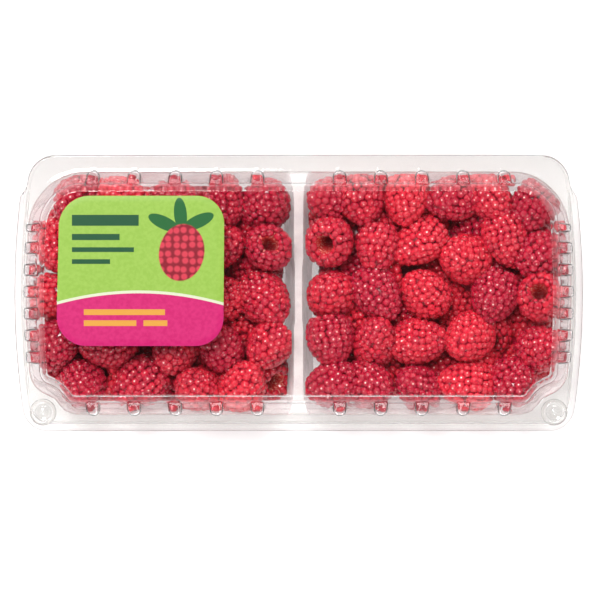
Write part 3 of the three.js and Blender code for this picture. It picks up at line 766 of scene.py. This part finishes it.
def settled(centre, radius, side):
    """Centres after overlapping berries have pushed each other apart, one pair after another."""
    centre = centre.copy()
    for _ in range(SETTLE_STEPS):
        for i in range(len(centre)):
            for j in range(i + 1, len(centre)):
                push = centre[j] - centre[i]
                distance = np.sqrt(push @ push)
                overlap = SOFTNESS * (radius[i] + radius[j]) - distance
                if overlap > 0:
                    push *= overlap / 2 / distance
                    centre[i] -= push
                    centre[j] += push
        centre = kept_inside(centre, side, radius * WALL_SOFTNESS)
    return centre


DRUPELET_PITCH = 3.1
DRUPELET_RISE = 1.25
DRUPELET_SINK = 0.3
RING_SPACING = 0.86  # of the rings of drupelets, as a share of the pitch


def meridian(share):
    """The berry's outline from its hollow's rim (0) to its tip (1), as shares of radius and length.

    Up to 0.12 it rolls over the rim on a quarter turn, then it widens as a parabola. From its widest place
    on it is a blunt cone: radius = (1 - u to the power 1.8) to the power 0.6.
    """
    roll = np.clip(share / 0.12, 0, 1) * np.pi / 2
    height = np.where(share < 0.12, -0.44 - 0.05 * np.sin(roll), -0.49 + (share - 0.12) / 0.88 * 0.99)
    upper = np.clip((height + 0.16) / 0.66, 0, 1)
    lower = np.clip((-0.16 - height) / 0.33, 0, 1)
    body = (1 - upper**1.8) ** 0.6 * (1 - 0.32 * lower**2)
    return np.where(share < 0.12, 0.5 + 0.18 * (1 - np.cos(roll)), body), height


def drupelet_places(radius, length, number):
    """Centres, outward directions and sizes of a berry's drupelets, ring by ring, with its tip along +Z."""
    t = np.linspace(0, 1, 200)
    r, h = meridian(t)
    r, h = r * (radius - DRUPELET_RISE), h * (length - 2 * DRUPELET_RISE)
    along = np.concatenate([[0], np.cumsum(np.hypot(np.diff(r), np.diff(h)))])
    rings = int(round(along[-1] / (DRUPELET_PITCH * RING_SPACING)))
    spots, outs, sizes = [], [], []
    slope_r, slope_h = np.gradient(r, along), np.gradient(h, along)
    for k in range(rings + 1):
        at = along[-1] * (k + 0.1) / (rings + 0.1)
        ring_r, ring_h = np.interp(at, along, r), np.interp(at, along, h)
        nr, nh = np.interp(at, along, slope_h), -np.interp(at, along, slope_r)
        count = max(1, int(round(2 * np.pi * ring_r / DRUPELET_PITCH)))
        seeds = number * 100 + k * 17 + np.arange(count)
        angle = 2 * np.pi * (np.arange(count) + 0.5 * (k % 2) + 0.34 * (scatter(seeds, 6) - 0.5)) / count
        shift = 0.3 * (scatter(seeds, 7) - 0.5) * DRUPELET_PITCH
        ring = np.stack([ring_r * np.cos(angle), ring_r * np.sin(angle), np.full(count, ring_h)], -1)
        out = np.stack([nr * np.cos(angle), nr * np.sin(angle), np.full(count, nh)], -1)
        tangent = np.stack([-nh * np.cos(angle), -nh * np.sin(angle), np.full(count, nr)], -1)
        spots.append(ring + tangent * shift[:, None])
        outs.append(out)
        sizes.append(0.9 + 0.26 * scatter(seeds, 8))
    return np.concatenate(spots), np.concatenate(outs), np.concatenate(sizes)


def frames_along(axes):
    """Two unit vectors square to each axis, so that (first, second, axis) is a right-handed frame."""
    helper = np.where(np.abs(axes[:, 2:]) < 0.9, (0.0, 0.0, 1.0), (1.0, 0.0, 0.0))
    first = np.cross(helper, axes)
    first /= np.linalg.norm(first, axis=1, keepdims=True)
    return first, np.cross(axes, first)


def bead(segments, rings):
    """A drupelet on +Z: radius sin(a), height cos(a), for a from the crown to a little below the equator."""
    angle = np.linspace(0, np.radians(105), rings + 1)[1:]
    turn = 2 * np.pi * np.arange(segments) / segments
    ring = np.stack([
        np.sin(angle)[:, None] * np.cos(turn), np.sin(angle)[:, None] * np.sin(turn),
        np.broadcast_to(np.cos(angle)[:, None], (rings, segments))], -1)
    points = np.concatenate([[(0, 0, 1.0)], ring.reshape(-1, 3), [(0, 0, np.cos(angle[-1]))]])
    step = np.arange(segments)
    after = (step + 1) % segments
    crown = np.stack([np.zeros_like(step), 1 + step, 1 + after], -1)
    bands = band_quads(rings, segments, 1)
    sides = np.concatenate([bands[:, (0, 3, 1)], bands[:, (1, 3, 2)]])
    last = 1 + (rings - 1) * segments
    foot = np.stack([np.full_like(step, len(points) - 1), last + after, last + step], -1)
    return points, np.concatenate([crown, sides, foot])


CORE_SEGMENTS = 20
CORE_PROFILE = np.array([  # shares of radius and length, from the hollow's bottom over its rim to the tip
    (0, 0.05), (0.16, 0.02), (0.24, -0.1), (0.32, -0.28), (0.42, -0.42), (0.54, -0.47), (0.68, -0.45),
    (0.83, -0.36), (0.96, -0.14), (0.92, 0.06), (0.76, 0.25), (0.54, 0.38), (0.28, 0.45), (0, 0.47)])
CORE_STEM = np.array((0.15, 0.3, 0.7, 1.0, 0.9, 0.4, 0, 0, 0, 0, 0, 0))  # how pale each ring in the hollow is


def core_mesh(radius, length):
    """The dark body under the drupelets, a closed lathe round Z whose lower end folds into the hollow."""
    r = CORE_PROFILE[1:-1, 0] * (radius - DRUPELET_RISE * 1.2)
    h = CORE_PROFILE[1:-1, 1] * (length - DRUPELET_RISE * 1.6)
    turn = 2 * np.pi * np.arange(CORE_SEGMENTS) / CORE_SEGMENTS
    ring = np.stack([r[:, None] * np.cos(turn), r[:, None] * np.sin(turn),
                     np.broadcast_to(h[:, None], (len(r), CORE_SEGMENTS))], -1)
    ends = CORE_PROFILE[[0, -1], 1] * (length - DRUPELET_RISE * 1.6)
    points = np.concatenate([[(0, 0, ends[0])], ring.reshape(-1, 3), [(0, 0, ends[1])]])
    step = np.arange(CORE_SEGMENTS)
    after = (step + 1) % CORE_SEGMENTS
    bands = band_quads(len(r), CORE_SEGMENTS, 1)
    last = len(points) - 1
    first_cap = np.stack([np.zeros_like(step), 1 + after, 1 + step], -1)
    rim = last - CORE_SEGMENTS
    last_cap = np.stack([np.full_like(step, last), rim + step, rim + after], -1)
    stem = np.concatenate([[0.1], np.repeat(CORE_STEM, CORE_SEGMENTS), [0]])
    return points, np.concatenate([first_cap, bands[:, (0, 1, 3)], bands[:, (1, 2, 3)], last_cap]), stem


def heap_object(name, berries, side, segments, rings):
    """Some berries as one mesh, with attributes for height on the drupelet, tone, and the pale hollow."""
    shape, shape_faces = bead(segments, rings)
    points, faces, crowns, tones, stems, start = [], [], [], [], [], 0
    for centre, axis, radius, length, number in zip(*berries):
        spot, out, size = drupelet_places(radius, length, number)
        first, second = frames_along(axis[None])
        spin = 2 * np.pi * scatter(number, 9)
        oval = 1 + 0.12 * (scatter(number, 10) - 0.5)
        bx = (first * np.cos(spin) + second * np.sin(spin)) * oval
        by = (second * np.cos(spin) - first * np.sin(spin)) / oval
        turn = np.concatenate([bx, by, axis[None]])
        u, v = frames_along(out)
        wide = DRUPELET_PITCH * 0.6 * size[:, None, None]
        tall = DRUPELET_RISE * 1.25 * size[:, None, None]
        beads = spot[:, None] + wide * (shape[None, :, :1] * u[:, None] + shape[None, :, 1:2] * v[:, None])
        beads = beads + tall * shape[None, :, 2:] * out[:, None] - DRUPELET_SINK * out[:, None]
        core, core_faces, stem = core_mesh(radius, length)
        body = np.concatenate([beads.reshape(-1, 3), core]) @ turn + centre
        count = len(spot)
        bead_faces = (shape_faces[None] + (np.arange(count) * len(shape))[:, None, None]).reshape(-1, 3)
        faces.append(np.concatenate([bead_faces, core_faces + count * len(shape)]) + start)
        points.append(body)
        # The core gets crown -1, so it takes the dark painted shade of the folds between drupelets.
        crowns.append(np.concatenate([np.tile(shape[:, 2], count), np.full(len(core), -1.0)]))
        tone = scatter(number, 11) + 0.35 * (scatter(number * 31 + np.arange(count), 12) - 0.5)
        tones.append(np.concatenate([np.repeat(tone, len(shape)), np.full(len(core), 0.5)]))
        stems.append(np.concatenate([np.zeros(count * len(shape)), stem]))
        start += len(body)
    points = kept_inside_soft(np.concatenate(points), side)
    made = put_mesh(name, points * MM, np.concatenate(faces))
    for label, values in (("crown", crowns), ("tone", tones), ("stem", stems)):
        layer = made.data.attributes.new(label, "FLOAT", "POINT")
        layer.data.foreach_set("value", np.concatenate(values).astype(np.float32))
    return made


def kept_inside_soft(points, side):
    """Points of the berries' skin, flattened where they would pass a wall, floor, ridge or lid."""
    moved = kept_inside(points, side, SKIN_ROOM)
    moved[:, 2] = np.clip(points[:, 2], FLOOR_Z + 0.1, HEAP_TOP_Z + SKIN_RISE)
    dome = DOME_LEAN * np.clip((moved[:, 2] - LID_Z) / (SHOULDER_Z - LID_Z), 0, 1) + DOME_ROOM
    high = moved[:, 2] > LID_Z - 1
    x_limit, y_limit = WALL_HALF_X - dome, WALL_HALF_Y - dome
    moved[:, 0] = np.where(high, np.clip(moved[:, 0], -x_limit, x_limit), moved[:, 0])
    moved[:, 1] = np.where(high, np.clip(moved[:, 1], -y_limit, y_limit), moved[:, 1])
    x, y = within_corner(moved[:, 0], moved[:, 1], side, BACK_CORNER - dome)
    moved[:, :2] = np.where(high[:, None], np.stack([x, y], -1), moved[:, :2])
    return moved


# Raspberry skin is painted dark in the folds between drupelets, which is painted shade, and is clear pinkish
# red on their sides. A pale bloom and a small painted highlight lie on top of each drupelet, and fine pale
# hairs line the hollow.
skin_red, place, output = new_material("raspberry_skin")
crown = place.attribute("crown")
tone = place.attribute("tone")
blotch = place.noise(160.0)
ripe = tone.ramp(0.1, 0.9).mix((0.36, 0.002, 0.022, 1), (0.56, 0.010, 0.028, 1))
bloom_and_painted_highlight = (crown.ramp(0.55, 1.0) * blotch.ramp(0.3, 0.75) * 0.08).mix(ripe, (0.85, 0.16, 0.20, 1))
facing = place.node("ShaderNodeNewGeometry", output=1)
towards_key = {0: facing, 1: (-0.2, 0.4, 0.89)}
lit = place.node("ShaderNodeVectorMath", {"operation": "DOT_PRODUCT"}, towards_key, output=1)
patchy = place.noise(330.0).ramp(0.38, 0.66, 0.0, 1.0)
# Painted highlight: a pale pink dot on each drupelet's crown, in patches, strongest on drupelets facing the
# key light.
tip = crown.ramp(0.935, 0.985) * patchy * lit.ramp(0.35, 0.95, 0.2, 1.0)
bloom_and_painted_highlight = tip.mix(bloom_and_painted_highlight, (1.0, 0.66, 0.64, 1))
# Painted shade: low on each drupelet and in the folds between them the skin is painted dark red.
depth = crown.ramp(-0.2, 0.6).mix((0.21, 0.001, 0.011, 1), bloom_and_painted_highlight)
hairs = place.noise(1500.0, 1.0)
cup = hairs.ramp(0.55, 0.68).mix((0.55, 0.03, 0.03, 1), (0.90, 0.46, 0.36, 1))
depth = place.attribute("stem").mix(depth, cup)
pits = place.noise(900.0, 1.0)
normal = pits.bump(0.12, 0.0002)
surface(output, place.node("ShaderNodeBsdfPrincipled", values={
    "Base Color": depth, "Roughness": pits.ramp(0.3, 0.8, 0.16, 0.26), "IOR": 1.4,
    "Coat Weight": 0.6, "Coat Roughness": 0.12, "Sheen Weight": 0.06, "Sheen Roughness": 0.3,
    "Sheen Tint": (1.0, 0.72, 0.74, 1), "Subsurface Weight": 0.12, "Subsurface Scale": 1.0,
    "Subsurface Radius": (0.0022, 0.0004, 0.0004), "Normal": normal}))

# Under the berries of each half a rounded cushion fills the hidden middle of the heap
CORE_HALF = (42.0, 36.0)
CORE_CORNER = 16.0
CORE_CENTRE_X = 57.0
CORE_RINGS = ((6, 4), (1, 6), (0, 10), (1, 14), (5, 16.5), (14, 18))  # inset and height of each ring
LENGTH_SWELL = 1.08  # the berries are a little longer than the room that they take as they settle


def cushion(side):
    """The inside of one heap: rounded rectangles, closed by shrinking rings at the top and at the foot."""
    rings = []
    for inset, z in CORE_RINGS:
        x, y, round_off = CORE_HALF[0] - inset, CORE_HALF[1] - inset, CORE_CORNER - inset
        corners = [arc((sx * (x - round_off), sy * (y - round_off)), round_off, turn, turn + 90, 12)
                   for sx, sy, turn in ((1, -1, -90), (1, 1, 0), (-1, 1, 90), (-1, -1, 180))]
        outline = np.concatenate(corners) + (side * CORE_CENTRE_X, 0)
        rings.append(np.concatenate([outline, np.full((len(outline), 1), z)], 1) * MM)
    top = closing(rings[-1], rings[-1].mean(0))[1:]
    foot = closing(rings[0], rings[0].mean(0))[:0:-1]
    rows = np.concatenate([foot, rings, top])
    count = len(rings[0])
    caps = [tuple(range(count))[::-1], tuple(range((len(rows) - 1) * count, len(rows) * count))]
    faces = [tuple(quad) for quad in band_quads(len(rows), count).tolist()] + caps
    return rows.reshape(-1, 3), faces


def finish_fruit(piece, side_name):
    """Skin and body of one piece of a heap; the half's CAD berries are hidden."""
    piece.data.materials.append(skin_red)
    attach(piece, "tray")
    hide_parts(f"berries_{side_name}")


for side_name, side, upper_list in (("right", 1, RIGHT_UPPER), ("left", -1, LEFT_UPPER)):
    points, faces = cushion(side)
    finish_fruit(put_mesh(f"heap_core_{side_name}", points, faces=faces), side_name)
    centre, axis, radius, length, number, is_upper = place_berries(side, upper_list)
    centre = settled(centre, radius, side)
    front = centre[:, 1] < 0
    layers = (("front", is_upper & front, 0.91, 9, 4), ("back", is_upper & ~front, 0.91, 9, 4),
              ("lower", ~is_upper, 1.08, 7, 3))
    for layer_name, here, swell, segments, rings in layers:
        berries = (centre[here], axis[here], radius[here] * swell, length[here] * LENGTH_SWELL, number[here])
        heap = heap_object(f"raspberries_{layer_name}_{side_name}", berries, side, segments, rings)
        finish_fruit(heap, side_name)

# Where a vent flute stands over the wall, a few drupelets of the outermost berries bulge under it.
BULGE_Z = 27.6
BULGE_INSET = 3.3
BULGE_RADIUS = 2.7
BULGE_LENGTH = 2.1  # as a share of the radius
for side_name, side in (("right", 1), ("left", -1)):
    spots = [(x, y) for x in LONG_FLUTES for y in (BULGE_INSET - WALL_HALF_Y, WALL_HALF_Y - BULGE_INSET)]
    spots += [((WALL_HALF_X - BULGE_INSET) * (1 - BOW * y * y), y) for y in SHORT_FLUTES]
    centre = np.array([(side * x, y, BULGE_Z) for x, y in spots])
    number = np.arange(len(spots)) + 500 + 100 * side
    lean = [0.3 * (scatter(number, trait) - 0.5) for trait in (1, 2)]
    axis = np.stack([*lean, np.ones(len(spots))], -1)
    axis /= np.linalg.norm(axis, axis=1, keepdims=True)
    sizes = BULGE_RADIUS + 0.5 * scatter(number, 3)
    berries = (centre, axis, sizes, sizes * BULGE_LENGTH, number)
    finish_fruit(heap_object(f"drupelets_under_flutes_{side_name}", berries, side, 9, 4), side_name)


# The label. A satin paper sticker on the left half of the lid's panel, printed in two fields of colour with a
# spray of leaves, a dotted fruit and plain bars. Its back, which shows through the open lid, is plain paper.

LABEL_CENTRE = np.array((-66.5, 9.3))
LABEL_HALF = np.array((35.0, 31.5))
LABEL_CORNER = 12.0
LABEL_Z = 45.1


def label_line(inset, count=14):
    """The label's outline drawn in by inset: four corner arcs joined by straight sides."""
    reach = LABEL_HALF - LABEL_CORNER
    radius = LABEL_CORNER - inset
    corners = [arc(LABEL_CENTRE + reach * (sx, sy), radius, turn, turn + 90, count)
               for sx, sy, turn in ((1, -1, -90), (1, 1, 0), (-1, 1, 90), (-1, -1, 180))]
    return np.concatenate(corners)


label_rings = np.stack([
    lifted(label_line(0.0), LABEL_Z - 0.04), lifted(label_line(0.0), LABEL_Z + 0.03),
    lifted(label_line(0.12), LABEL_Z + 0.07), lifted(label_line(3.0), LABEL_Z + 0.07)])
label = sheet_object("label_sticker", [(label_rings, True, False)], [(label_rings[-1], False),
                                                                    (label_rings[0], True)], 0.01, 0)
label.modifiers.clear()
label_print, place, output = new_material("label_print")
x = place.along(0) / MM
y = place.along(1) / MM
line = (x + 67.0) * (x + 67.0) * -0.004 + 0.5
magenta_mask = (line - y).ramp(-0.15, 0.15)


def bar(centre_x, centre_y, half_x, half_y):
    """1 inside a rectangle, 0 outside."""
    across = (x - centre_x).math("ABSOLUTE").ramp(half_x - 0.1, half_x + 0.1, 1.0, 0.0)
    return across * (y - centre_y).math("ABSOLUTE").ramp(half_y - 0.1, half_y + 0.1, 1.0, 0.0)


def oval(centre_x, centre_y, half_x, half_y, turned):
    """1 inside a turned ellipse, where (u over half_x) squared plus (v over half_y) squared is under 1."""
    c, s = float(np.cos(np.radians(turned))), float(np.sin(np.radians(turned)))
    u = (x - centre_x) * c + (y - centre_y) * s
    v = (y - centre_y) * c - (x - centre_x) * s
    return (u * u / half_x**2 + v * v / half_y**2).ramp(0.94, 1.06, 1.0, 0.0)


fibre = place.noise(700.0)
printed = fibre.ramp(0.3, 0.7).mix((0.35, 0.60, 0.08, 1), (0.40, 0.65, 0.10, 1))
printed = magenta_mask.mix(printed, fibre.ramp(0.3, 0.7).mix((0.70, 0.010, 0.17, 1), (0.78, 0.016, 0.20, 1)))
edge = (line - y).math("ABSOLUTE").ramp(0.5, 0.7, 1.0, 0.0)
printed = edge.mix(printed, (0.86, 0.90, 0.66, 1))
for centre_x, centre_y, half_x, half_y in ((-81, 30.5, 14, 2.3), (-85, 23.5, 10, 1.3), (-82, 18.2, 13, 1.0),
                                           (-87, 13.2, 8, 1.0)):
    printed = bar(centre_x, centre_y, half_x, half_y).mix(printed, (0.010, 0.10, 0.035, 1))
for centre_x, centre_y, half_x, half_y in ((-73, -8.0, 17, 1.2), (-79, -12.6, 11, 1.2), (-60, -12.6, 5, 1.2)):
    printed = bar(centre_x, centre_y, half_x, half_y).mix(printed, (0.90, 0.42, 0.06, 1))
for centre_x, centre_y, turned in ((-56.5, 29.5, 155), (-42.0, 30.0, 25), (-49.5, 33.0, 95)):
    printed = oval(centre_x, centre_y, 7.0, 2.7, turned).mix(printed, (0.012, 0.15, 0.03, 1))
cells = place.node("ShaderNodeTexVoronoi", {"voronoi_dimensions": "2D"},
                   {"Vector": place, "Scale": 310.0, "Randomness": 0.3})
fruit = cells.ramp(0.25, 0.55).mix((0.80, 0.05, 0.09, 1), (0.30, 0.003, 0.02, 1))
printed = oval(-49.0, 17.0, 12.0, 9.5, 80).mix(printed, fruit)
grain = fibre.bump(0.12, 0.0001)
surface(output, place.node("ShaderNodeBsdfPrincipled", values={
    "Base Color": printed, "Roughness": fibre.ramp(0.3, 0.7, 0.38, 0.5), "Normal": grain}))
label.data.materials.append(label_print)
label_back, place, output = new_material("label_back")
fibre = place.noise(700.0)
plain = fibre.ramp(0.3, 0.7).mix((0.56, 0.57, 0.52, 1), (0.64, 0.65, 0.60, 1))
surface(output, place.node("ShaderNodeBsdfPrincipled", values={
    "Base Color": plain, "Roughness": fibre.ramp(0.3, 0.7, 0.5, 0.65)}))
label.data.materials.append(label_back)
for face in label.data.polygons:
    if face.normal.z < -0.5:
        face.material_index = 1
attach(label, "lid")
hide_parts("label")
